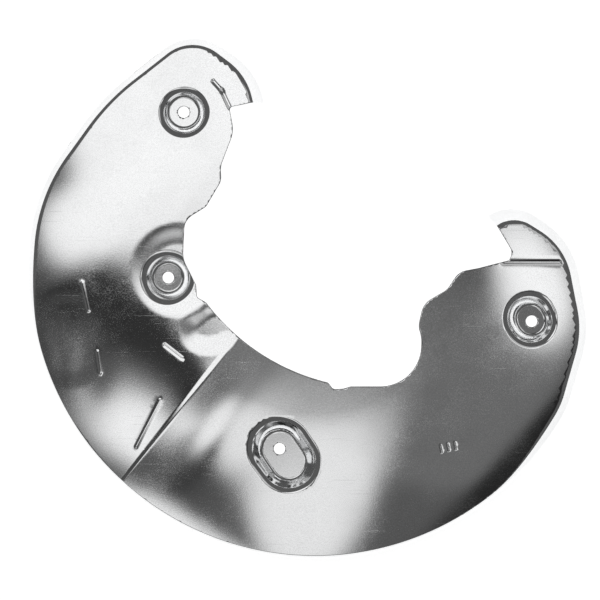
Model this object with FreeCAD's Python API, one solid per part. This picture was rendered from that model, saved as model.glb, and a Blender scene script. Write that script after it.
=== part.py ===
"""Brake dust shield: one pressed sheet with a flared skirt, sunk fixing cups and a caliper mouth.

Sizes are in millimetres. The origin is on the wheel axis, in the plane of the skirt's lower edge.
+Z points to the crowned face, and the caliper mouth is on the +X +Y side. Places and bends in plan
are given as shares of the rim's radius, so the whole plan follows RIM_R.

The sheet is the difference of two form blocks. form_block(0) fills the space under the outer
face. form_block(SHEET) is the same form with every face moved in by the sheet's thickness, so
the shell has one thickness over the crown, the skirt, the cups and the pressed steps.
"""
import FreeCAD
import Part

import math
import os

# Sheet and main section
SHEET = 1.0             # thickness of the sheet
RIM_R = 163.5           # radius of the rim
RIM_Z = 5.0             # height of the crown at the rim, over the skirt's lower edge
WEB_Z = 15.0            # height of the crown at the hub opening
HUB = 0.37              # radius of the hub opening, where WEB_Z holds
CROWN_SEAM = 60.0       # azimuth of the crown's seam, in the open mouth
SKIRT_LEAN = 30.0       # lean of the skirt from the wheel axis, degrees
SHOULDER_BEND = 2.5     # inside bend between crown and skirt

# Fixing cups, sunk into the crown
CUP_FLOOR_Z = 5.0       # height of the flat floors
CUP_LEAN = 40.0         # lean of the walls from the wheel axis, degrees
CUP_RIM_BEND = 1.6      # inside bend where the crown turns down into a cup
HOLE_D = 6.6            # clearance hole for an M6 bolt
# Hole centre, far end of the floor, radius of the floor in mm
CUPS = [
    ((-0.4563, 0.5529), (-0.4563, 0.5529), 8.8),
    ((-0.5101, -0.0220), (-0.5101, -0.0220), 8.6),
    ((-0.1235, -0.6165), (-0.0924, -0.6618), 10.2),
    ((0.7523, -0.1737), (0.7462, -0.1627), 8.0),
]

# Pressed relief
STEP_LEAN = 45.0        # lean of every step's wall from the wheel axis, degrees
SECTOR_DROP = 2.2       # how far the left sector lies lower at the hub; it fades out at the rim
SECTOR_EDGE = ((-0.6557, -0.7205), (-0.2624, -0.2275))    # step between the sectors, rim to opening
LANDING_DROP = 1.5      # round landing at the second cup
LANDING_R = 24.0
LANDING_AT = (-0.4740, 0.0031)
TONGUE_DROP = 1.2       # pocket beside the hub opening
TONGUE = [(-0.500, -0.230, 0.049), (-0.367, -0.262, 0.073), (-0.290, -0.240, 0.049),
          (-0.290, -0.100, 0.049), (-0.380, -0.135, 0.049)]
PANEL_DROP = 0.9        # shallow panel near the rim
PANEL = [(-0.905, -0.379, 0.049), (-0.777, -0.373, 0.049), (-0.795, -0.086, 0.049),
         (-0.936, -0.086, 0.049)]
SWELL_RISE = 2.0        # long swell beside the sector step
SWELL_END = 0.8         # how far its crest has dived under the crown at both ends
SWELL_WIDTH = 0.147
SWELL_LENGTH = 0.673
SWELL_OFF = 0.135       # from the sector step to the swell's crest
SWELL_ALONG = 0.269     # from the step's inner end to the middle of the swell

# Rim, a true circle between these azimuths, and how many bends wrap it
RIM_FROM, RIM_TO = 176.0, 328.0
RIM_BENDS = 3
# Corners that lead into and out of the circle: run along its tangent, bend
LEAD_IN = (0.200, 0.636)
LEAD_OUT = (0.059, 0.367)
# Horns at the skirt's lower edge: x, y, bend. The mouth cuts off their outer ends.
LEFT_HORN = [(-0.164, 0.540, 0.012), (-0.209, 0.702, 0.248), (-0.428, 0.854, 0.173),
             (-0.741, 0.609, 0.827)]
RIGHT_HORN = [(0.957, -0.213, 0.372), (0.899, 0.106, 0.276), (0.686, 0.248, 0.149),
              (0.570, 0.171, 0.012)]
# Trimmed edge of the mouth and the hub opening, from the left horn's tip to the right one's
MOUTH = [
    (-0.1394, 0.5988, 0.0037), (-0.2966, 0.5657, 0.0110), (-0.2807, 0.4820, 0.0972), (-0.3260, 0.3627, 0.0728),
    (-0.3242, 0.3113, 0.0453), (-0.3768, 0.2220, 0.0312), (-0.4508, 0.1761, 0.0593), (-0.4569, 0.0416, 0.0960),
    (-0.4110, -0.0477, 0.0220), (-0.4080, -0.0905, 0.0141), (-0.3761, -0.1083, 0.0122), (-0.2153, -0.3199, 0.7450),
    (0.0440, -0.3841, 0.0092), (0.0630, -0.4080, 0.0171), (0.0991, -0.4049, 0.0202), (0.1217, -0.3976, 0.0080),
    (0.3602, -0.3976, 0.1419), (0.3664, -0.2287, 0.1101), (0.3547, -0.1914, 0.0697), (0.3725, -0.1119, 0.0709),
    (0.4550, -0.0636, 0.0630), (0.4948, -0.0024, 0.0618), (0.5609, 0.0098, 0.1046), (0.6691, 0.0373, 0.0110),
    (0.6807, 0.0661, 0.0312), (0.5829, 0.2294, 0.0037),
]

REACH = 12.0            # how far the tools run past the faces that they cut
SPARE = 1.0             # the same, where more would spoil a leaning tool
NEAR = 0.01             # distance at which points count as touching


def unit(start, end):
    x, y = end[0] - start[0], end[1] - start[1]
    length = math.hypot(x, y)
    return x / length, y / length


def slope(lean):
    return math.tan(math.radians(lean))


def across(lean):
    """Sideways move of a leaning wall whose face moves in by one."""
    return 1.0 / math.cos(math.radians(lean))


def placed(*shares):
    """Shares of the rim's radius as millimetres."""
    return tuple(RIM_R * share for share in shares)


def plan(corners):
    return [placed(*corner) for corner in corners]


def rim_corners():
    """Corners that wrap the true circle of the rim, after the one that leads in and before the one out."""
    def on_tangent(azimuth, ahead, out=1.0):
        a = math.radians(azimuth)
        return out * math.cos(a) - ahead * math.sin(a), out * math.sin(a) + ahead * math.cos(a)

    span = (RIM_TO - RIM_FROM) / RIM_BENDS
    out = 1.0 / math.cos(math.radians(span / 2.0))
    wrap = [(*on_tangent(RIM_FROM + span * (k + 0.5), 0.0, out), 1.0) for k in range(RIM_BENDS)]
    (back, bend_in), (ahead, bend_out) = LEAD_IN, LEAD_OUT
    return [(*on_tangent(RIM_FROM, -back), bend_in), *wrap, (*on_tangent(RIM_TO, ahead), bend_out)]


def grown(corners, grow):
    """Counter-clockwise outline with every edge moved out by grow and its arcs kept concentric."""
    moved = []
    for i, (x, y, radius) in enumerate(corners):
        ax, ay = unit(corners[i - 1], (x, y))
        bx, by = unit((x, y), corners[(i + 1) % len(corners)])
        share = grow / (1.0 + ax * bx + ay * by)
        bulges = ax * by > ay * bx
        moved.append((x + (ay + by) * share, y - (ax + bx) * share, radius + (grow if bulges else -grow)))
    return moved


def outline(corners, z):
    """Closed wire of straight runs and tangent arcs at height z."""
    bends = []
    for i, (x, y, radius) in enumerate(corners):
        ax, ay = unit((x, y), corners[i - 1])
        bx, by = unit((x, y), corners[(i + 1) % len(corners)])
        half = math.acos(ax * bx + ay * by) / 2.0
        back = radius / math.tan(half)
        deep = radius / math.sin(half) - radius
        mx, my = unit((0.0, 0.0), (ax + bx, ay + by))
        bends.append((FreeCAD.Vector(x + ax * back, y + ay * back, z),
                      FreeCAD.Vector(x + mx * deep, y + my * deep, z),
                      FreeCAD.Vector(x + bx * back, y + by * back, z)))
    edges = []
    for (start, middle, end), (onward, _, _) in zip(bends, bends[1:] + bends[:1]):
        edges.append(Part.Arc(start, middle, end).toShape())
        if end.distanceToPoint(onward) > NEAR:
            edges.append(Part.LineSegment(end, onward).toShape())
    return Part.Wire(edges)


def slot(start, end, radius, z):
    """Closed wire of a round or an obround at height z; its two round ends are arcs of their own."""
    a, b = FreeCAD.Vector(*start, z), FreeCAD.Vector(*end, z)
    ux, uy = (1.0, 0.0) if start == end else unit(start, end)
    along, side = FreeCAD.Vector(ux, uy, 0) * radius, FreeCAD.Vector(-uy, ux, 0) * radius
    edges = [Part.Arc(a + side, a - along, a - side).toShape(), Part.Arc(b - side, b + along, b + side).toShape()]
    if start != end:
        edges.insert(1, Part.LineSegment(a - side, b - side).toShape())
        edges.append(Part.LineSegment(b + side, a + side).toShape())
    return Part.Wire(edges)


def flared(section, low, high, lean=0.0, at=0.0, grow=0.0):
    """Solid over section(grow, z), true to size at height `at`, that opens by `lean` on the way up."""
    wires = [section(grow + (z - at) * slope(lean), z) for z in (low, high)]
    return Part.makeLoft(wires, True, True)


def crown_ball(drop):
    """Height of the centre and radius of the ball whose top is the crown."""
    top, hub_r = WEB_Z - drop, RIM_R * HUB
    centre_z = (top ** 2 + hub_r ** 2 - RIM_Z ** 2 - RIM_R ** 2) / (2.0 * (top - RIM_Z))
    return centre_z, math.hypot(top - centre_z, hub_r)


def crown_height(x, y, drop=0.0):
    centre_z, ball_r = crown_ball(drop)
    return centre_z + math.sqrt(ball_r ** 2 - x ** 2 - y ** 2)


def under_crown(depth, drop=0.0):
    """Everything under the crown's skin; `drop` lowers it at the hub but not at the rim."""
    centre_z, ball_r = crown_ball(drop)
    edge_r = RIM_R + REACH

    def on_ball(radius):
        return FreeCAD.Vector(radius, 0, centre_z + math.sqrt((ball_r - depth) ** 2 - radius ** 2))

    top, middle, edge = on_ball(0.0), on_ball(edge_r / 2.0), on_ball(edge_r)
    foot, edge_foot = FreeCAD.Vector(0, 0, -2.0 * REACH), FreeCAD.Vector(edge_r, 0, -2.0 * REACH)
    profile = Part.Wire([
        Part.Arc(top, middle, edge).toShape(),
        Part.LineSegment(edge, edge_foot).toShape(),
        Part.LineSegment(edge_foot, foot).toShape(),
        Part.LineSegment(foot, top).toShape(),
    ])
    axis = FreeCAD.Vector(0, 0, 0), FreeCAD.Vector(0, 0, 1)
    block = Part.Face(profile).revolve(*axis, 360)
    block.rotate(*axis, CROWN_SEAM)
    return block


def heights(shape):
    levels = [v.Z for v in shape.Vertexes]
    return min(levels), max(levels)


def edges_of(faces, wanted):
    """Edges of these faces that pass the test, each one once."""
    found = []
    for face in faces:
        for edge in face.Edges:
            if wanted(edge) and not any(edge.isSame(e) for e in found):
                found.append(edge)
    return found


def pan(depth, drop=0.0):
    """Crown and leaning skirt as a solid, with the shoulder between them rounded."""
    corners = plan(LEFT_HORN + rim_corners() + RIGHT_HORN)
    low = -2.0 * depth
    body = flared(lambda grow, z: outline(grown(corners, grow), z),
                  low, WEB_Z + SPARE, -SKIRT_LEAN, 0.0, -depth * across(SKIRT_LEAN))
    body = body.common(under_crown(depth, drop))
    skirt = [f for f in body.Faces if heights(f)[0] < low + NEAR < heights(f)[1] - NEAR]
    shoulder = edges_of(skirt, lambda e: heights(e)[0] > low + NEAR)
    return body.makeFillet(SHOULDER_BEND + SHEET - depth, shoulder)


def two_level_pan(depth):
    """The pan with its left sector lower; the step's wall leans, and the step fades out at the rim."""
    (rx, ry), (ix, iy) = plan(SECTOR_EDGE)
    ux, uy = unit((rx, ry), (ix, iy))
    far = 2.0 * RIM_R
    corner = far / 4.0
    raised = [(rx - ux * far, ry - uy * far, corner),
              (rx - ux * far + uy * far, ry - uy * far - ux * far, corner),
              (ix + ux * far + uy * far, iy + uy * far - ux * far, corner),
              (ix + ux * far, iy + uy * far, corner)]
    side = flared(lambda grow, z: outline(grown(raised, grow), z),
                  -REACH, WEB_Z + REACH, -STEP_LEAN, WEB_Z, -depth * across(STEP_LEAN))
    return pan(depth, SECTOR_DROP).fuse(pan(depth).common(side))


def swell(depth):
    """Barrel-shaped tile whose back stands over the crown as a long swell beside the sector step."""
    rim_end, (ix, iy) = plan(SECTOR_EDGE)
    ux, uy = unit(rim_end, (ix, iy))
    width, length, off, along = placed(SWELL_WIDTH, SWELL_LENGTH, SWELL_OFF, SWELL_ALONG)
    mx, my = ix - ux * along + uy * off, iy - uy * along - ux * off
    crest = []
    for part, rise in ((0.5, -SWELL_END), (0.0, SWELL_RISE), (-0.5, -SWELL_END)):
        x, y = mx + ux * length * part, my + uy * length * part
        crest.append(FreeCAD.Vector(x, y, crown_height(x, y) + rise))
    centre = Part.Circle(*crest).Center
    bow = (crest[1] - centre).Length
    section = (width ** 2 / 4.0 + SWELL_RISE ** 2) / (2.0 * SWELL_RISE)
    chord = (crest[2] - crest[0]).normalize()
    down = (centre - crest[1]).normalize()
    down = (down - chord * down.dot(chord)).normalize()
    axis = crest[1] + down * section
    half_angle = math.degrees(math.asin((width / 2.0 + SPARE) / section))

    def rail(inset):
        return [centre + (p - centre) * ((bow - inset) / bow) for p in crest]

    back, belly = rail(depth), rail(depth + SWELL_RISE + SPARE)
    tile = Part.Face(Part.Wire([
        Part.Arc(*back).toShape(), Part.LineSegment(back[2], belly[2]).toShape(),
        Part.Arc(*belly[::-1]).toShape(), Part.LineSegment(belly[0], back[0]).toShape()]))
    tile.rotate(axis, chord, -half_angle)
    return tile.revolve(axis, chord, 2.0 * half_angle)


def sunk(body, depth, section):
    """Sink a flat-floored cup into the block and round its rim."""
    tool = flared(section, CUP_FLOOR_Z - depth, WEB_Z + REACH, CUP_LEAN, CUP_FLOOR_Z, depth * across(CUP_LEAN))
    walls = [f for f in tool.Faces if heights(f)[1] > heights(f)[0] + NEAR]

    def on_rim(edge):
        first, last = edge.ParameterRange
        points = [edge.valueAt(first + (last - first) * k / 4.0) for k in range(5)]
        return all(CUP_FLOOR_Z + SPARE < p.z and min(w.distToShape(Part.Vertex(p))[0] for w in walls) < NEAR
                   for p in points)

    body = body.cut(tool)
    return body.makeFillet(CUP_RIM_BEND + SHEET - depth, [e for e in body.Edges if on_rim(e)])


def pressed(body, depth, section, around, drop):
    """Lower the left sector by drop inside a section; the floor keeps the crown's own curve."""
    levels = [crown_height(x, y, SECTOR_DROP) for x, y in around]
    floor = under_crown(depth, SECTOR_DROP)
    floor.translate(FreeCAD.Vector(0, 0, -drop))
    low, high = min(levels) - drop - 2.0 * depth - SPARE / 2.0, max(levels)
    tool = flared(section, low, high + SPARE, STEP_LEAN, high, depth * across(STEP_LEAN))
    return body.cut(tool.cut(floor))


def form_block(depth):
    """The whole form under the outer face, every face moved in by depth."""
    body = two_level_pan(depth).fuse(swell(depth))
    x, y = placed(*LANDING_AT)
    body = pressed(body, depth, lambda grow, z: slot((x, y), (x, y), LANDING_R + grow, z),
                   [(x - LANDING_R, y), (x + LANDING_R, y)], LANDING_DROP)
    for start, end, radius in CUPS:
        start, end = placed(*start), placed(*end)
        body = sunk(body, depth, lambda grow, z: slot(start, end, radius + grow, z))
    for corners, drop in ((plan(PANEL), PANEL_DROP), (plan(TONGUE), TONGUE_DROP)):
        body = pressed(body, depth, lambda grow, z: outline(grown(corners, grow), z),
                       [corner[:2] for corner in corners], drop)
    return body


def main():
    os.makedirs("parts", exist_ok=True)
    shield = form_block(0.0).cut(form_block(SHEET))
    shield = shield.cut(flared(lambda grow, z: outline(plan(MOUTH), z), -REACH, WEB_Z + REACH))
    for centre, _, _ in CUPS:
        shield = shield.cut(Part.makeCylinder(HOLE_D / 2.0, WEB_Z, FreeCAD.Vector(*placed(*centre), 0.0)))
    shield = shield.Solids[0]
    print("faces", len(shield.Faces), "valid", shield.isValid(), "volume", round(shield.Volume))
    shield.exportStep("parts/dust_shield.step")


main()
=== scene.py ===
"""Brake dust shield: pressed relief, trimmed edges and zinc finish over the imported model, and its studio.

The sheet is drawn in plan, in millimetres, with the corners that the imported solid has. One height
function gives the outer skin, and the same one moved in by the sheet's thickness the inner skin. The
steps of the relief are softer and shallower here than in the solid.
"""

import math

import bpy
import numpy as np
from bpy.props import FloatProperty, FloatVectorProperty, PointerProperty
from mathutils.geometry import delaunay_2d_cdt
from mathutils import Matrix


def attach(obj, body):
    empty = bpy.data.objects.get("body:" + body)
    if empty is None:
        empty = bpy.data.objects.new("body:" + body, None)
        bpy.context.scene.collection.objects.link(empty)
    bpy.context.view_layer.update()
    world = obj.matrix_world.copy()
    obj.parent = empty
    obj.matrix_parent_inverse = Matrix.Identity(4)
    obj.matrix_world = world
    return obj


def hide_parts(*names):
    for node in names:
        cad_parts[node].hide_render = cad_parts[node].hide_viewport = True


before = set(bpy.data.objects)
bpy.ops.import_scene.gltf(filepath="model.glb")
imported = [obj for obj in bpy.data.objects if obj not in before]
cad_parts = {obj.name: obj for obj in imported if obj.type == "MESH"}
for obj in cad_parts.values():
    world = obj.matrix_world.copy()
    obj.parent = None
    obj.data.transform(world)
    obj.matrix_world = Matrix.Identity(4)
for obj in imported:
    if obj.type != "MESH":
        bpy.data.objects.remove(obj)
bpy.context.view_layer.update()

bl_info = {
    "name": "Brake dust shield",
    "version": (1, 0, 0),
    "blender": (4, 5, 0),
    "location": "3D View > Sidebar > Shield",
    "description": "Pressed zinc-coated dust shield with its fixing cups and caliper mouth",
    "category": "Object",
}

MM = 0.001

# Places and bends in plan, as shares of the rim's radius: x, y, bend
LEFT_HORN = [(-0.164, 0.540, 0.012), (-0.209, 0.702, 0.248), (-0.428, 0.854, 0.173),
             (-0.741, 0.609, 0.827)]
RIGHT_HORN = [(0.957, -0.213, 0.372), (0.899, 0.106, 0.276), (0.686, 0.248, 0.149),
              (0.570, 0.171, 0.012)]
# Rim, a true circle between these azimuths, and how many bends wrap it
RIM_FROM, RIM_TO = 176.0, 328.0
RIM_BENDS = 3
# Corners that lead into and out of the circle: run along its tangent, bend
LEAD_IN = (0.200, 0.636)
LEAD_OUT = (0.059, 0.367)
# Trimmed edge of the mouth and the hub opening
MOUTH = [
    (-0.1394, 0.5988, 0.0037), (-0.2966, 0.5657, 0.0110), (-0.2807, 0.4820, 0.0972),
    (-0.3260, 0.3627, 0.0728), (-0.3242, 0.3113, 0.0453), (-0.3768, 0.2220, 0.0312),
    (-0.4508, 0.1761, 0.0593), (-0.4569, 0.0416, 0.0960), (-0.4110, -0.0477, 0.0220),
    (-0.4080, -0.0905, 0.0141), (-0.3761, -0.1083, 0.0122), (-0.2153, -0.3199, 0.7450),
    (0.0440, -0.3841, 0.0092), (0.0630, -0.4080, 0.0171), (0.0991, -0.4049, 0.0202),
    (0.1217, -0.3976, 0.0080), (0.3602, -0.3976, 0.1419), (0.3664, -0.2287, 0.1101),
    (0.3547, -0.1914, 0.0697), (0.3725, -0.1119, 0.0709), (0.4550, -0.0636, 0.0630),
    (0.4948, -0.0024, 0.0618), (0.5609, 0.0098, 0.1046), (0.6691, 0.0373, 0.0110),
    (0.6807, 0.0661, 0.0312), (0.5829, 0.2294, 0.0037),
]
# Step between the sectors, from the rim to the hub opening
SECTOR_EDGE = ((-0.6557, -0.7205), (-0.2624, -0.2275))
LANDING_AT = (-0.4740, 0.0031)
TONGUE = [(-0.500, -0.230, 0.049), (-0.367, -0.262, 0.073), (-0.290, -0.240, 0.049),
          (-0.290, -0.100, 0.049), (-0.380, -0.135, 0.049)]
PANEL = [(-0.905, -0.379, 0.049), (-0.777, -0.373, 0.049), (-0.795, -0.086, 0.049),
         (-0.936, -0.086, 0.049)]
# Hole centre, far end of the floor, radius of the floor in millimetres
CUPS = [
    ((-0.4563, 0.5529), (-0.4563, 0.5529), 8.8),
    ((-0.5101, -0.0220), (-0.5101, -0.0220), 8.6),
    ((-0.1235, -0.6165), (-0.0924, -0.6618), 10.2),
    ((0.7523, -0.1737), (0.7462, -0.1627), 8.0),
]
# Long swell: width, length, distance from the sector step, distance from the step's inner end
SWELL = (0.147, 0.673, 0.135, 0.269)
# Sector step: width of its low wall and the share of the drop that it takes, then how far the sheet falls
STEP_WIDTH, STEP_SHARE, STEP_FALL = 2.5, 0.08, 85.0
# Width of the soft edges of the pocket and the panel
SOFT_EDGE = 12.0
# Width of the landing's soft edge, and how far it reaches outside the landing
LANDING_EDGE, LANDING_PAST = 14.0, 4.0
# How much steeper the skirt stands along the true circle, and over how many degrees that comes in
RIM_STEEPER, RIM_EASE = 0.62, 20.0
# Soft hollows and rises that the press leaves: centre, reach across x and y, height, all in millimetres
HOLLOWS = [
    ((-126.0, -40.0), (10.0, 26.0), -0.25),
]
# Creases: start, end, height, half width, all in millimetres
CREASES = [
    ((-131.7, -6.7), (-128.3, -22.0), 0.16, 0.9),
    ((-123.2, -45.7), (-121.5, -57.0), 0.16, 0.9),
    ((-84.8, -41.7), (-75.2, -49.1), -0.16, 0.9),
    ((-87.6, -72.8), (-101.2, -99.3), 0.12, 0.9),
    ((-57.5, 107.5), (-52.5, 101.9), -0.30, 1.1),
    ((-52.5, 101.9), (-48.0, 92.3), -0.30, 1.1),
    ((105.8, 5.1), (137.9, 5.1), -0.30, 1.1),
]
# Round pad near the rim, and three plain ticks punched in it
PAD_AT, PAD_REACH, PAD_DROP = (74.9, -99.2), 13.0, -0.22
TICKS = [((70.6, -98.2), (71.4, -102.4)), ((74.6, -97.4), (75.4, -101.6)), ((78.6, -96.6), (79.4, -100.8))]
TICK_DROP, TICK_HALF = -0.30, 0.45
MARKS = CREASES + [(*tick, TICK_DROP, TICK_HALF) for tick in TICKS]


class ShieldSizes(bpy.types.PropertyGroup):
    sheet: FloatProperty(name="Sheet", description="Thickness of the sheet",
                         default=0.001, unit="LENGTH")
    web_height: FloatProperty(name="Web height", description="Flat web over the skirt's lower edge",
                              default=0.0136, unit="LENGTH")
    flat_radius: FloatProperty(name="Flat radius", description="Where the web begins to fall away",
                               default=0.080, unit="LENGTH")
    rim_radius: FloatProperty(name="Rim radius", description="Radius of the rim",
                              default=0.1635, unit="LENGTH")
    rim_height: FloatProperty(name="Rim height", description="Height of the crown at the rim",
                              default=0.005, unit="LENGTH")
    skirt_lean: FloatProperty(name="Skirt lean", description="Lean of the skirt from the wheel axis",
                              default=math.radians(30.0), subtype="ANGLE")
    shoulder_bend: FloatProperty(name="Shoulder bend", description="Inside bend from crown to skirt",
                                 default=0.0025, unit="LENGTH")
    cup_floor: FloatProperty(name="Cup floor height", description="Height of the fixing cups' floors",
                             default=0.005, unit="LENGTH")
    cup_lean: FloatProperty(name="Cup lean", description="Lean of the cups' walls from the wheel axis",
                            default=math.radians(40.0), subtype="ANGLE")
    cup_rim_bend: FloatProperty(name="Cup rim bend", description="Outside bend at the cups' rims",
                                default=0.0026, unit="LENGTH")
    cup_foot_bend: FloatProperty(name="Cup foot bend", description="Bend at the foot of the cups' walls",
                                 default=0.0016, unit="LENGTH")
    hole: FloatProperty(name="Fixing hole", description="Diameter of the fixing holes",
                        default=0.0066, unit="LENGTH")
    sector_drop: FloatProperty(name="Sector drop", description="How far the left sector lies under the web",
                               default=0.0022, unit="LENGTH")
    landing_drop: FloatProperty(name="Landing drop", description="Depth of the round landing",
                                default=0.000525, unit="LENGTH")
    landing_radius: FloatProperty(name="Landing radius", description="Radius of the round landing",
                                  default=0.0240, unit="LENGTH")
    tongue_drop: FloatProperty(name="Pocket drop", description="Depth of the pocket by the hub opening",
                               default=0.00048, unit="LENGTH")
    panel_drop: FloatProperty(name="Panel drop", description="Depth of the shallow panel near the rim",
                              default=0.000126, unit="LENGTH")
    swell_rise: FloatProperty(name="Swell rise", description="Height of the long swell over the crown",
                              default=0.0006, unit="LENGTH")
    edge_roll: FloatProperty(name="Edge roll", description="Rounding that the die leaves on trimmed edges",
                             default=0.00035, unit="LENGTH")


class ShieldFinish(bpy.types.PropertyGroup):
    zinc: FloatVectorProperty(name="Zinc", description="Colour of the coated sheet",
                              default=(0.93, 0.935, 0.94), subtype="COLOR")
    grain_size: FloatProperty(name="Grain size", description="Size of the speckle in the coating",
                              default=0.0007, unit="LENGTH")
    grain_depth: FloatProperty(name="Grain depth", description="Depth of the speckle in the coating",
                               default=0.000004, unit="LENGTH")
    roughness: FloatProperty(name="Roughness", description="Roughness of the clean coating",
                             default=0.05, subtype="FACTOR")


class ShieldStudio(bpy.types.PropertyGroup):
    camera_at: FloatVectorProperty(name="Camera", description="Where the camera stands, looking down",
                                   default=(-0.00856, -0.01633, 1.0), subtype="TRANSLATION", unit="LENGTH")
    half_view: FloatProperty(name="Half view", description="Half width of the view at the skirt's lower edge",
                             default=0.1713, unit="LENGTH")
    floor_gap: FloatProperty(name="Floor gap", description="Gap between the skirt's edge and the floor",
                             default=0.0005, unit="LENGTH")
    ambient: FloatProperty(name="Ambient", description="Strength of the tent's light on the floor",
                           default=0.55)
    tent_radius: FloatProperty(name="Tent radius", description="Radius of the tent that the metal reflects",
                               default=40.0, unit="LENGTH")


def unit_to(start, end):
    step = np.subtract(end, start)
    return step / np.hypot(*step)


def rim_corners():
    """Corners that wrap the true circle of the rim, after the one that leads in and before the one out."""
    def on_tangent(azimuth, ahead, out=1.0):
        a = math.radians(azimuth)
        return out * math.cos(a) - ahead * math.sin(a), out * math.sin(a) + ahead * math.cos(a)

    span = (RIM_TO - RIM_FROM) / RIM_BENDS
    out = 1.0 / math.cos(math.radians(span / 2.0))
    wrap = [(*on_tangent(RIM_FROM + span * (k + 0.5), 0.0, out), 1.0) for k in range(RIM_BENDS)]
    (back, bend_in), (ahead, bend_out) = LEAD_IN, LEAD_OUT
    return [(*on_tangent(RIM_FROM, -back), bend_in), *wrap, (*on_tangent(RIM_TO, ahead), bend_out)]


class Outline:
    """Counter-clockwise outline of straight runs and tangent arcs, from corners with bend radii."""

    def __init__(self, corners):
        self.arcs, self.runs = [], []
        for i, (x, y, radius) in enumerate(corners):
            here = np.array((x, y))
            back = unit_to(here, corners[i - 1][:2])
            on = unit_to(here, corners[(i + 1) % len(corners)][:2])
            half = math.acos(float(np.clip(np.dot(back, on), -1.0, 1.0))) / 2.0
            bisector = unit_to((0.0, 0.0), back + on)
            left_turn = back[1] * on[0] < back[0] * on[1]
            cut = radius / math.tan(half)
            self.arcs.append((here + back * cut, here + bisector * radius / math.sin(half), here + on * cut,
                              radius, -bisector, math.cos(math.pi / 2.0 - half), -1.0 if left_turn else 1.0))
        for arc, onward in zip(self.arcs, self.arcs[1:] + self.arcs[:1]):
            self.runs.append((arc[2], onward[0]))

    def signed(self, p):
        """Distance of each point from the outline, above zero inside it."""
        best = np.full(len(p), 1e9)
        for start, end in self.runs:
            along = end - start
            length = max(float(np.hypot(*along)), 1e-9)
            along = along / length
            to = p - start
            share = np.clip(to @ along, 0.0, length)
            away = np.hypot(to[:, 0] - share * along[0], to[:, 1] - share * along[1])
            side = np.sign(along[0] * to[:, 1] - along[1] * to[:, 0])
            best = np.where(away < np.abs(best), away * np.where(side == 0, 1.0, side), best)
        for _, centre, _, radius, middle, reach, sense in self.arcs:
            to = p - centre
            length = np.hypot(to[:, 0], to[:, 1])
            away = (radius - length) * sense
            near = (to @ middle >= length * reach) & (np.abs(away) < np.abs(best))
            best = np.where(near, away, best)
        return best

    def walk(self, spacing):
        """Points along the outline, closer together on the tight bends."""
        points = []
        for (start, centre, end, radius, _, _, sense), run in zip(self.arcs, self.runs):
            a, b = start - centre, end - centre
            sweep = math.atan2(a[0] * b[1] - a[1] * b[0], float(a @ b))
            steps = max(2, math.ceil(abs(sweep) * radius / spacing), math.ceil(abs(sweep) / 0.2))
            for k in range(steps + 1):
                turn = sweep * k / steps
                points.append(centre + (a[0] * math.cos(turn) - a[1] * math.sin(turn),
                                        a[0] * math.sin(turn) + a[1] * math.cos(turn)))
            length = math.dist(*run)
            for k in range(1, math.ceil(length / spacing)):
                points.append(run[0] + (run[1] - run[0]) * k / math.ceil(length / spacing))
        return np.array(points)


def smooth(share):
    """Share from zero to one, eased at both ends."""
    share = np.clip(share, 0.0, 1.0)
    return share ** 2 * (3.0 - 2.0 * share)


def soft_min(a, b, reach):
    overlap = np.maximum(reach - np.abs(a - b), 0.0)
    return np.minimum(a, b) - overlap ** 2 / (4.0 * reach)


def soft_max(a, b, reach):
    return -soft_min(-a, -b, reach)


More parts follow.
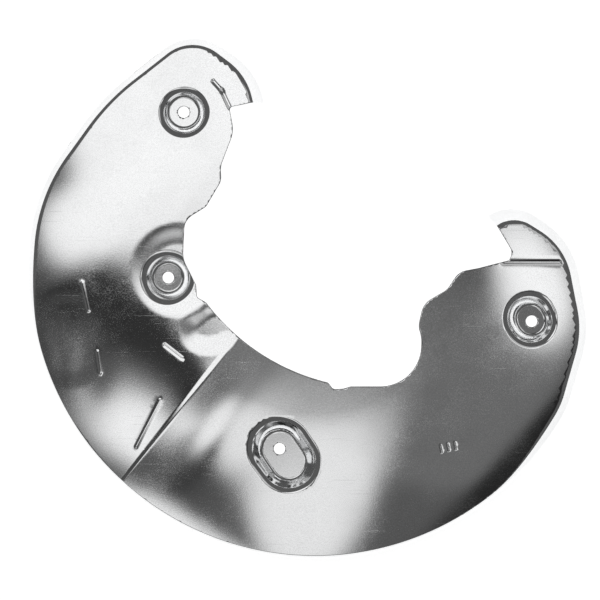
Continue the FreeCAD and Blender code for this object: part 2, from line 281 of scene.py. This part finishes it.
class Form:
    """Height of the shield's skins over the plan, in millimetres."""

    def __init__(self, sizes):
        self.s = {name: getattr(sizes, name) / MM for name in (
            "sheet", "web_height", "flat_radius", "rim_radius", "rim_height", "shoulder_bend", "cup_floor",
            "cup_rim_bend", "cup_foot_bend", "hole", "sector_drop", "landing_drop", "landing_radius",
            "tongue_drop", "panel_drop", "swell_rise", "edge_roll")}
        self.skirt_slope = math.tan(sizes.skirt_lean)
        self.skirt_across = 1.0 / math.cos(sizes.skirt_lean)
        self.cup_slope = math.tan(sizes.cup_lean)
        self.cup_across = 1.0 / math.cos(sizes.cup_lean)
        self.skirt = Outline(self.plan(LEFT_HORN + rim_corners() + RIGHT_HORN))
        self.mouth = Outline(self.plan(MOUTH))
        self.tongue = Outline(self.plan(TONGUE))
        self.panel = Outline(self.plan(PANEL))
        self.sector_edge = self.plan(SECTOR_EDGE)
        self.landing = self.plan([LANDING_AT])[0]
        self.cups = [(*self.plan([start, end]), radius) for start, end, radius in CUPS]

    def plan(self, shares):
        """Shares of the rim's radius as millimetres."""
        return [tuple(self.s["rim_radius"] * v for v in point) for point in shares]

    def crown(self, radius, depth, drop):
        top = self.s["web_height"] - drop
        run, fall = self.s["rim_radius"] - self.s["flat_radius"], top - self.s["rim_height"]
        bend = (run ** 2 + fall ** 2) / (2.0 * fall)
        past = np.clip(radius - self.s["flat_radius"], 0.0, bend * 0.5)
        return top - bend + np.sqrt((bend - depth) ** 2 - past ** 2)

    def swell(self, p):
        """Long soft swell beside the sector step."""
        rim_end, hub_end = self.sector_edge
        along = unit_to(rim_end, hub_end)
        side = np.array((along[1], -along[0]))
        width, length, off, back = self.plan([SWELL])[0]
        to = p - (np.array(hub_end) - along * back + side * off)
        u, v = to @ along / (length / 2.0), to @ side / (width / 2.0)
        return self.s["swell_rise"] * np.exp(-1.5 * u ** 2 - 0.45 * v ** 2)

    def trimmed(self, p):
        """Distance inside the nearest trimmed edge: mouth, hub opening or fixing hole."""
        near = -self.mouth.signed(p)
        for centre, _, _ in self.cups:
            near = np.minimum(near, np.hypot(*(p - centre).T) - self.s["hole"] / 2.0)
        return near

    def cup_distance(self, p, start, end, radius):
        along = np.subtract(end, start)
        to = p - start
        share = np.clip(to @ along / max(float(along @ along), 1e-9), 0.0, 1.0)
        return np.hypot(*(to - share[:, None] * along).T) - radius

    def worked(self, p):
        """Soft hollows, creases, and the pad with its ticks: height that they add."""
        z = np.zeros(len(p))
        for centre, reach, rise in HOLLOWS + [(PAD_AT, (PAD_REACH, PAD_REACH), PAD_DROP)]:
            z += rise * np.exp(-(((p - centre) / reach) ** 2).sum(axis=1))
        for start, end, rise, half in MARKS:
            z += rise * np.exp(-(self.cup_distance(p, start, end, 0.0) / half) ** 2)
        return z

    def height(self, p, depth=0.0):
        s = self.s
        radius = np.hypot(p[:, 0], p[:, 1])
        along = unit_to(*self.sector_edge)
        off = (p - self.sector_edge[1]) @ (along[1], -along[0])
        low = self.crown(radius, depth, s["sector_drop"])
        fall = np.clip(off / STEP_FALL + 1.0, 0.0, 1.0) ** 2
        z = low + s["sector_drop"] * (STEP_SHARE * smooth(off / STEP_WIDTH + 1.0) + (1.0 - STEP_SHARE) * fall)
        z = z + self.swell(p)
        for shape, drop in ((self.tongue, s["tongue_drop"]), (self.panel, s["panel_drop"])):
            z = z - drop * smooth(shape.signed(p) / SOFT_EDGE + 0.5)
        inside = s["landing_radius"] + LANDING_PAST - np.hypot(*(p - self.landing).T)
        z = z - s["landing_drop"] * smooth(inside / LANDING_EDGE)
        z = z + self.worked(p)
        for start, end, floor_radius in self.cups:
            out = self.cup_distance(p, start, end, floor_radius) - depth * self.cup_across
            cup = soft_max(np.full(len(p), s["cup_floor"] - depth), s["cup_floor"] + out / self.cup_slope,
                           s["cup_foot_bend"] * 0.7)
            z = soft_min(z, cup, s["cup_rim_bend"] * 0.9)
        azimuth = np.degrees(np.arctan2(p[:, 1], p[:, 0])) % 360.0
        steeper = 1.0 - RIM_STEEPER * smooth(np.minimum(azimuth - RIM_FROM, RIM_TO - azimuth) / RIM_EASE)
        skirt = (self.skirt.signed(p) - depth * self.skirt_across) / (self.skirt_slope * steeper)
        z = soft_min(z, skirt, s["shoulder_bend"] + s["sheet"] - depth)
        if depth == 0.0:
            roll = np.clip(1.0 - self.trimmed(p) / s["edge_roll"], 0.0, 1.0)
            z = z - 0.5 * s["edge_roll"] * roll ** 2
        return z

    def normals(self, p, depth=0.0):
        step = 0.02
        ex, ey = np.array((step, 0.0)), np.array((0.0, step))
        gx = (self.height(p + ex, depth) - self.height(p - ex, depth)) / (2.0 * step)
        gy = (self.height(p + ey, depth) - self.height(p - ey, depth)) / (2.0 * step)
        n = np.column_stack((-gx, -gy, np.ones(len(p))))
        return n / np.linalg.norm(n, axis=1)[:, None]


def beside(path, offset):
    """Closed path moved to its left by offset."""
    ahead = np.roll(path, -1, axis=0) - np.roll(path, 1, axis=0)
    ahead /= np.maximum(np.hypot(ahead[:, 0], ahead[:, 1]), 1e-9)[:, None]
    return path + np.column_stack((-ahead[:, 1], ahead[:, 0])) * offset


def circle(centre, radius, spacing):
    count = max(24, math.ceil(2.0 * math.pi * radius / spacing))
    a = np.arange(count) * 2.0 * math.pi / count
    return np.column_stack((centre[0] + radius * np.cos(a), centre[1] + radius * np.sin(a)))


# Spacing of the mesh in millimetres: even grid, room that it leaves round close rows, points taken as one
GRID_PITCH, CLEAR_CELL, SAME_CELL = 1.9, 1.3, 0.42
# Room that loose points leave beside the rim, the trimmed edges and the skirt's inner foot
RIM_CLEAR, TRIM_CLEAR, FOOT_CLEAR = 0.25, 0.08, 0.12


def close_rows(form, skirt, mouth, foot):
    """Rows of points along the bends, the steps, the cups, the marks and the trimmed edges."""
    s = form.s
    rows = [beside(skirt, d) for d in np.concatenate((np.arange(0.4, foot, 0.4), np.arange(1.6, 7.0, 0.45)))]
    rows += [beside(mouth, -d) for d in (0.12, 0.35, 0.9)]
    for start, end, radius in form.cups:
        rows += [circle(start, s["hole"] / 2.0 + d, 0.6) for d in (0.12, 0.35, 0.9, 1.8)]
        away = (s["web_height"] - s["cup_floor"]) * form.cup_slope
        middle = np.mean((start, end), axis=0)
        rows += [circle(middle, r, 1.1) for r in np.arange(radius - 2.0, radius + away + 5.0, 0.55)]
    rows += [circle(form.landing, r, 1.2) for r in np.arange(s["landing_radius"] - 3.0,
                                                           s["landing_radius"] + 2.0, 0.6)]
    for shape in (form.tongue, form.panel):
        path = shape.walk(1.2)
        rows += [beside(path, d) for d in np.arange(-1.8, 2.4, 0.6)]
    along = unit_to(*form.sector_edge)
    side = np.array((along[1], -along[0]))
    length = math.dist(*form.sector_edge)
    for off in np.arange(-9.0, 5.0, 1.0):
        rows.append(np.array(form.sector_edge[0]) + np.arange(0.0, length, 1.2)[:, None] * along + side * off)
    for start, end, _, half in MARKS:
        along = unit_to(start, end)
        side = np.array((-along[1], along[0]))
        run = np.arange(-1.5, math.dist(start, end) + 1.5, half * 0.9)[:, None] * along
        rows += [np.array(start) + run + side * off for off in np.arange(-1.8, 1.9, 0.6) * half]
    return rows


def even_grid(lo, hi, close):
    """Even triangles' corners between two corners of the plan, away from the close points."""
    xs = np.arange(lo[0], hi[0], GRID_PITCH)
    ys = np.arange(lo[1], hi[1], GRID_PITCH * math.sqrt(3.0) / 2.0)
    gx, gy = np.meshgrid(xs, ys)
    gx = gx + (np.arange(len(ys)) % 2)[:, None] * GRID_PITCH / 2.0
    grid = np.column_stack((gx.ravel(), gy.ravel()))
    taken = {tuple(c) for c in np.floor(close / CLEAR_CELL).astype(int).tolist()}
    free = [tuple(c) not in taken for c in np.floor(grid / CLEAR_CELL).astype(int).tolist()]
    return grid[np.array(free)]


def plan_mesh(form):
    """Triangles over the plan: close rows at bends, steps and edges, and an even grid between."""
    foot = form.s["sheet"] * form.skirt_across
    skirt, mouth = form.skirt.walk(1.6), form.mouth.walk(1.2)
    holes = [circle(centre, form.s["hole"] / 2.0, 0.5) for centre, _, _ in form.cups]
    close = np.concatenate(close_rows(form, skirt, mouth, foot))
    _, kept = np.unique(np.round(close / SAME_CELL).astype(int), axis=0, return_index=True)
    close = close[np.sort(kept)]
    points = np.concatenate((close, even_grid(skirt.min(axis=0), skirt.max(axis=0), close)))
    points = points[(form.skirt.signed(points) > RIM_CLEAR) & (form.trimmed(points) > TRIM_CLEAR)]
    points = points[np.abs(form.skirt.signed(points) - foot) > FOOT_CLEAR]
    verts, edges = [], []
    for loop in [skirt, beside(skirt, foot), mouth] + holes:
        first = len(verts)
        verts += [tuple(v) for v in loop]
        edges += [(first + k, first + (k + 1) % len(loop)) for k in range(len(loop))]
    verts += [tuple(v) for v in points]
    out, _, faces, _, _, _ = delaunay_2d_cdt(verts, edges, [], 0, 1e-5, False)
    plan = np.array([tuple(v) for v in out])
    tris = np.array(faces)
    centre = plan[tris].mean(axis=1)
    inside = (form.skirt.signed(centre) > 0.0) & (form.trimmed(centre) > 0.0)
    return plan, tris[inside]


def sheet_mesh(form):
    plan, tris = plan_mesh(form)
    used, tris = np.unique(tris, return_inverse=True)
    plan, tris = plan[used], tris.reshape(-1, 3)
    a, b, c = plan[tris[:, 0]], plan[tris[:, 1]], plan[tris[:, 2]]
    turned = (b - a)[:, 0] * (c - a)[:, 1] < (b - a)[:, 1] * (c - a)[:, 0]
    tris[turned] = tris[turned][:, ::-1]
    sheet = form.s["sheet"]
    reach = form.skirt.signed(plan)
    on_rim = reach < 1e-3
    foot = reach < sheet * form.skirt_across + 1e-3
    top = form.height(plan)
    top = np.maximum(top, 0.0)
    top[on_rim] = 0.0
    under = np.where(foot, 0.0, np.maximum(form.height(plan, sheet), 0.0))
    under = np.minimum(under, top)
    count = len(plan)
    low = np.arange(count) + count
    low[on_rim] = np.flatnonzero(on_rim)
    points = np.concatenate((np.column_stack((plan, top)), np.column_stack((plan, under)))) * MM
    edge_ends = np.concatenate((tris[:, (0, 1)], tris[:, (1, 2)], tris[:, (2, 0)]))
    key = np.sort(edge_ends, axis=1)
    _, first, times = np.unique(key, axis=0, return_index=True, return_counts=True)
    rim = edge_ends[first[times == 1]]
    rim = rim[~(on_rim[rim[:, 0]] & on_rim[rim[:, 1]])]
    run = plan[rim[:, 1]] - plan[rim[:, 0]]
    out = np.column_stack((run[:, 1], -run[:, 0]))
    out /= np.hypot(out[:, 0], out[:, 1])[:, None]
    wall_normal = np.zeros((count, 3))
    np.add.at(wall_normal[:, :2], rim[:, 0], out)
    np.add.at(wall_normal[:, :2], rim[:, 1], out)
    wall_normal /= np.maximum(np.linalg.norm(wall_normal, axis=1), 1e-9)[:, None]
    up = form.normals(plan)
    down = -form.normals(plan, sheet)
    faces = [tuple(t) for t in tris]
    normals = [up[tris].reshape(-1, 3)]
    faces += [tuple(t[::-1]) for t in low[tris]]
    flat = foot[tris].all(axis=1)
    under_normals = down[tris[:, ::-1]]
    under_normals[flat] = (0.0, 0.0, -1.0)
    normals.append(under_normals.reshape(-1, 3))
    walls = []
    for i, j in rim:
        ring = [i, low[i], low[j], j]
        ring = [v for k, v in enumerate(ring) if v != ring[k - 1]]
        faces.append(tuple(int(v) for v in ring))
        walls += [wall_normal[v % count] for v in ring]
    normals.append(np.array(walls))
    mesh = bpy.data.meshes.new("dust_shield_sheet")
    mesh.from_pydata(points.tolist(), [], [tuple(int(v) for v in f) for f in faces])
    mesh.shade_smooth()
    mesh.normals_split_custom_set(np.concatenate(normals).tolist())
    mesh.validate()
    return mesh


class Wire:
    """Socket that takes Python arithmetic; each expression adds its Math nodes."""

    def __init__(self, tree, socket):
        self.tree, self.socket = tree, socket

    def math(self, operation, *others, clamp=False):
        return self.tree.add("ShaderNodeMath", {"operation": operation, "use_clamp": clamp},
                             dict(enumerate((self,) + others)))

    def __add__(self, other):
        return self.math("ADD", other)

    def __sub__(self, other):
        return self.math("SUBTRACT", other)

    def __rsub__(self, other):
        return self.tree.add("ShaderNodeMath", {"operation": "SUBTRACT"}, {0: other, 1: self})

    def __mul__(self, other):
        return self.math("MULTIPLY", other)

    __radd__, __rmul__ = __add__, __mul__

    def ramp(self, low, high, start=0.0, end=1.0):
        """Smooth change from start to end while the value goes from low to high."""
        return self.tree.add("ShaderNodeMapRange", {"interpolation_type": "SMOOTHSTEP"}, {
            "Value": self, "From Min": low, "From Max": high, "To Min": start, "To Max": end})


class Tree:
    """Node tree that is built from Python expressions."""

    def __init__(self, owner):
        owner.use_nodes = True
        self.nodes, self.links = owner.node_tree.nodes, owner.node_tree.links
        self.nodes.clear()

    def add(self, kind, settings=None, inputs=None, out=0):
        node = self.nodes.new(kind)
        for name, value in (settings or {}).items():
            setattr(node, name, value)
        for name, value in (inputs or {}).items():
            if isinstance(value, Wire):
                self.links.new(value.socket, node.inputs[name])
            elif value is not None:
                node.inputs[name].default_value = value
        return Wire(self, node.outputs[out]) if node.outputs else None


def grey(value):
    return (value, value, value, 1.0)


def zinc_material(finish):
    material = bpy.data.materials.new("zinc_coated_sheet")
    tree = Tree(material)
    place = tree.add("ShaderNodeTexCoord", None, None, "Object")

    def noise(size, detail=2.0, roughness=0.5, vector=place):
        return tree.add("ShaderNodeTexNoise", {"noise_dimensions": "3D"},
                        {"Vector": vector, "Scale": 1.0 / size, "Detail": detail, "Roughness": roughness})

    speckle = noise(finish.grain_size, 3.0, 0.6)
    haze = noise(0.035, 3.0, 0.55)
    drawn = tree.add("ShaderNodeMapping", {"vector_type": "POINT"},
                     {"Vector": place, "Rotation": (0.0, 0.0, 0.6), "Scale": (1.0, 40.0, 1.0)})
    scratch = noise(0.03, 2.0, 0.5, drawn).ramp(0.66, 0.72)
    tone = speckle.ramp(0.25, 0.75, 0.86, 1.06) * haze.ramp(0.3, 0.7, 0.95, 1.03)
    colour = tree.add("ShaderNodeVectorMath", {"operation": "SCALE"},
                      {0: tuple(finish.zinc), "Scale": tone})
    rough = finish.roughness + speckle.ramp(0.3, 0.8, -0.03, 0.05) + haze.ramp(0.35, 0.7, -0.03, 0.05) \
        + scratch * 0.06
    bump = tree.add("ShaderNodeBump", None, {"Strength": 1.0, "Distance": finish.grain_depth,
                                             "Height": speckle})
    shader = tree.add("ShaderNodeBsdfPrincipled", None, {
        "Base Color": colour, "Metallic": 1.0, "Roughness": rough, "Normal": bump})
    tree.add("ShaderNodeOutputMaterial", None, {"Surface": shader})
    return material


def add_object(name, mesh, material):
    piece = bpy.data.objects.new(name, mesh)
    piece.data.materials.append(material)
    bpy.context.scene.collection.objects.link(piece)
    return piece


def seen_by_eye_or_gloss(tree):
    """One for camera, glossy and transmission rays, and zero for the rest."""
    eye, gloss, through = (tree.add("ShaderNodeLightPath", out=name) for name in
                           ("Is Camera Ray", "Is Glossy Ray", "Is Transmission Ray"))
    return (eye + gloss).math("ADD", through, clamp=True)


# Floor: half width in metres, paint, and the glow that brings it to white for the eye
FLOOR_HALF, FLOOR_PAINT, FLOOR_GLOW = 4.0, 0.5, 0.76
# Lamp over the upper left: diameter in metres, power in watts, place, tilts in degrees
LAMP_SIZE, LAMP_POWER = 0.9, 3.0
LAMP_AT, LAMP_TILT = (-0.7, 0.9, 1.5), (-37.0, -25.0)
# Soft panels of the tent, in degrees away from straight up: centre to the right and to the top, half
# lengths, turn, and brightness; each lies over the ones before it
TENT_BASE = 0.10
TENT_PANELS = [
    (12.0, -8.0, 12.0, 9.0, -35.0, 0.15),      # dim cloth over the lower right
    (22.0, 15.0, 14.0, 10.0, 0.0, 0.50),       # half-bright cloth, upper right
    (0.0, 3.0, 8.0, 5.0, 0.0, 0.14),           # dim patch around the camera
    (8.0, 6.0, 6.0, 5.0, 0.0, 0.05),
    (-10.0, 14.0, 14.0, 11.0, -40.0, 1.0),     # large light, upper left
    (-17.0, 5.0, 8.0, 4.0, 0.0, 1.0),
    (-28.0, 4.0, 3.0, 14.0, 10.0, 0.12),       # dark edge at the left
    (-26.0, -8.0, 4.0, 10.0, 0.0, 0.06),
    (-15.0, -1.0, 10.0, 2.5, 5.0, 0.03),       # dark flag between the lights
    (-16.0, -9.0, 7.0, 3.0, 25.0, 1.0),        # narrow light, lower left
    (0.0, -17.0, 13.0, 5.0, 85.0, 0.85),       # tall light at the bottom
    (-14.0, -27.0, 13.0, 6.0, -30.0, 0.95),    # light at the lower left edge
    (-9.0, -15.0, 6.0, 3.0, 55.0, 0.04),       # dark flag over it
    (-6.0, -8.0, 6.0, 3.0, 55.0, 0.90),
    (23.0, -16.0, 17.0, 5.0, 45.0, 0.02),      # dark edge, lower right
    (17.0, 0.0, 7.0, 4.0, -35.0, 1.0),         # small light at the right
]
PANEL_BLUR = 0.7
# Tent mesh in degrees: step round it, fine step near the top, where that ends, lower edge
TENT_STEP, TENT_FINE, TENT_FINE_TO, TENT_LOW = 2.5, 0.75, 45.0, 130.0


def tent_tone(azimuth, polar):
    x, y = np.degrees(polar) * np.cos(azimuth), np.degrees(polar) * np.sin(azimuth)
    tone = np.full(azimuth.shape, TENT_BASE)
    for right, up, long, short, turn, level in TENT_PANELS:
        c, s = math.cos(math.radians(turn)), math.sin(math.radians(turn))
        u, v = (x - right) * c + (y - up) * s, (y - up) * c - (x - right) * s
        inside = (1.0 - np.hypot(u / long, v / short)) * math.sqrt(long * short)
        tone = tone + (level - tone) / (1.0 + np.exp(-np.clip(inside / PANEL_BLUR, -30.0, 30.0)))
    return tone


def tent_mesh(radius):
    """Inside of a ball, with the tone of each part kept as a colour on its corners."""
    azimuths = np.radians(np.arange(0.0, 360.0, TENT_STEP))
    polars = np.radians(np.concatenate((np.arange(0.0, TENT_FINE_TO, TENT_FINE),
                                        np.arange(TENT_FINE_TO, TENT_LOW + 0.1, TENT_STEP))))
    az, po = np.meshgrid(azimuths, polars)
    points = np.column_stack([(radius * v).ravel() for v in
                              (np.sin(po) * np.cos(az), np.sin(po) * np.sin(az), np.cos(po))])
    across, faces = len(azimuths), []
    for i in range(len(polars) - 1):
        for k in range(across):
            n = (k + 1) % across
            faces.append((i * across + k, i * across + n, (i + 1) * across + n, (i + 1) * across + k))
    mesh = bpy.data.meshes.new("studio_tent")
    mesh.from_pydata(points.tolist(), [], faces)
    tones = mesh.color_attributes.new("tone", "FLOAT_COLOR", "POINT")
    for k, value in enumerate(tent_tone(az, po).ravel()):
        tones.data[k].color = grey(float(value))
    return mesh


class DUSTSHIELD_OT_sheet(bpy.types.Operator):
    """Press the shield: crown, skirt, cups, steps and trimmed openings, with its zinc finish"""
    bl_idname = "scene.press_shield_sheet"
    bl_label = "Pressed sheet"

    def execute(self, context):
        scene = context.scene
        form = Form(scene.shield_sizes)
        piece = add_object("pressed_sheet", sheet_mesh(form), zinc_material(scene.shield_finish))
        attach(piece, "root")
        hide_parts("dust_shield")
        return {"FINISHED"}


class DUSTSHIELD_OT_studio(bpy.types.Operator):
    """Lay the pale floor, set up the tent's light and stand the camera over the shield"""
    bl_idname = "scene.set_up_shield_studio"
    bl_label = "Studio"

    def execute(self, context):
        scene = context.scene
        studio = scene.shield_studio
        scene.view_settings.view_transform = "Standard"

        world = bpy.data.worlds.new("tent_light")
        scene.world = world
        tree = Tree(world)
        seen = seen_by_eye_or_gloss(tree)
        strength = seen * (1.0 - studio.ambient) + studio.ambient
        background = tree.add("ShaderNodeBackground", None, {"Color": grey(1.0), "Strength": strength})
        tree.add("ShaderNodeOutputWorld", None, {"Surface": background})

        floor_material = bpy.data.materials.new("pale_floor")
        tree = Tree(floor_material)
        seen = seen_by_eye_or_gloss(tree)
        paint = tree.add("ShaderNodeBsdfDiffuse", None, {"Color": grey(FLOOR_PAINT)})
        glow = tree.add("ShaderNodeEmission", None, {"Color": grey(1.0), "Strength": seen * FLOOR_GLOW})
        both = tree.add("ShaderNodeAddShader", None, {0: paint, 1: glow})
        tree.add("ShaderNodeOutputMaterial", None, {"Surface": both})
        floor_mesh = bpy.data.meshes.new("studio_floor")
        corners = [(x, y, -studio.floor_gap) for x, y in
                   ((-FLOOR_HALF, -FLOOR_HALF), (FLOOR_HALF, -FLOOR_HALF),
                    (FLOOR_HALF, FLOOR_HALF), (-FLOOR_HALF, FLOOR_HALF))]
        floor_mesh.from_pydata(corners, [], [(0, 1, 2, 3)])
        add_object("studio_floor", floor_mesh, floor_material)

        tent_material = bpy.data.materials.new("tent_cloth")
        tree = Tree(tent_material)
        tone = tree.add("ShaderNodeVertexColor", {"layer_name": "tone"})
        glow = tree.add("ShaderNodeEmission", None, {"Color": tone, "Strength": 1.0})
        tree.add("ShaderNodeOutputMaterial", None, {"Surface": glow})
        tent = add_object("studio_tent", tent_mesh(studio.tent_radius), tent_material)
        tent.visible_camera = tent.visible_diffuse = tent.visible_shadow = tent.visible_transmission = False

        lamp = bpy.data.lights.new("key_lamp", "AREA")
        lamp.shape, lamp.size, lamp.energy = "DISK", LAMP_SIZE, LAMP_POWER
        key = bpy.data.objects.new("key_lamp", lamp)
        key.location = LAMP_AT
        key.rotation_euler = (math.radians(LAMP_TILT[0]), math.radians(LAMP_TILT[1]), 0.0)
        key.visible_glossy = False
        scene.collection.objects.link(key)

        eye = bpy.data.cameras.new("camera")
        eye.sensor_fit = "HORIZONTAL"
        eye.angle = 2.0 * math.atan(studio.half_view / studio.camera_at[2])
        camera = bpy.data.objects.new("camera", eye)
        camera.location = studio.camera_at
        scene.collection.objects.link(camera)
        scene.camera = camera
        return {"FINISHED"}


class DUSTSHIELD_PT_panel(bpy.types.Panel):
    bl_idname = "DUSTSHIELD_PT_panel"
    bl_label = "Brake dust shield"
    bl_space_type = "VIEW_3D"
    bl_region_type = "UI"
    bl_category = "Shield"

    def draw(self, context):
        for operator in OPERATORS:
            self.layout.operator(operator.bl_idname)


OPERATORS = (DUSTSHIELD_OT_sheet, DUSTSHIELD_OT_studio)
GROUPS = {"shield_sizes": ShieldSizes, "shield_finish": ShieldFinish, "shield_studio": ShieldStudio}


def register():
    for group in GROUPS.values():
        bpy.utils.register_class(group)
    for name, group in GROUPS.items():
        setattr(bpy.types.Scene, name, PointerProperty(type=group))
    for operator in OPERATORS:
        bpy.utils.register_class(operator)
    bpy.utils.register_class(DUSTSHIELD_PT_panel)


def unregister():
    bpy.utils.unregister_class(DUSTSHIELD_PT_panel)
    for operator in reversed(OPERATORS):
        bpy.utils.unregister_class(operator)
    for name in GROUPS:
        delattr(bpy.types.Scene, name)
    for group in reversed(GROUPS.values()):
        bpy.utils.unregister_class(group)


def main():
    register()
    bpy.ops.scene.press_shield_sheet()
    bpy.ops.scene.set_up_shield_studio()


if __name__ == "__main__":
    main()
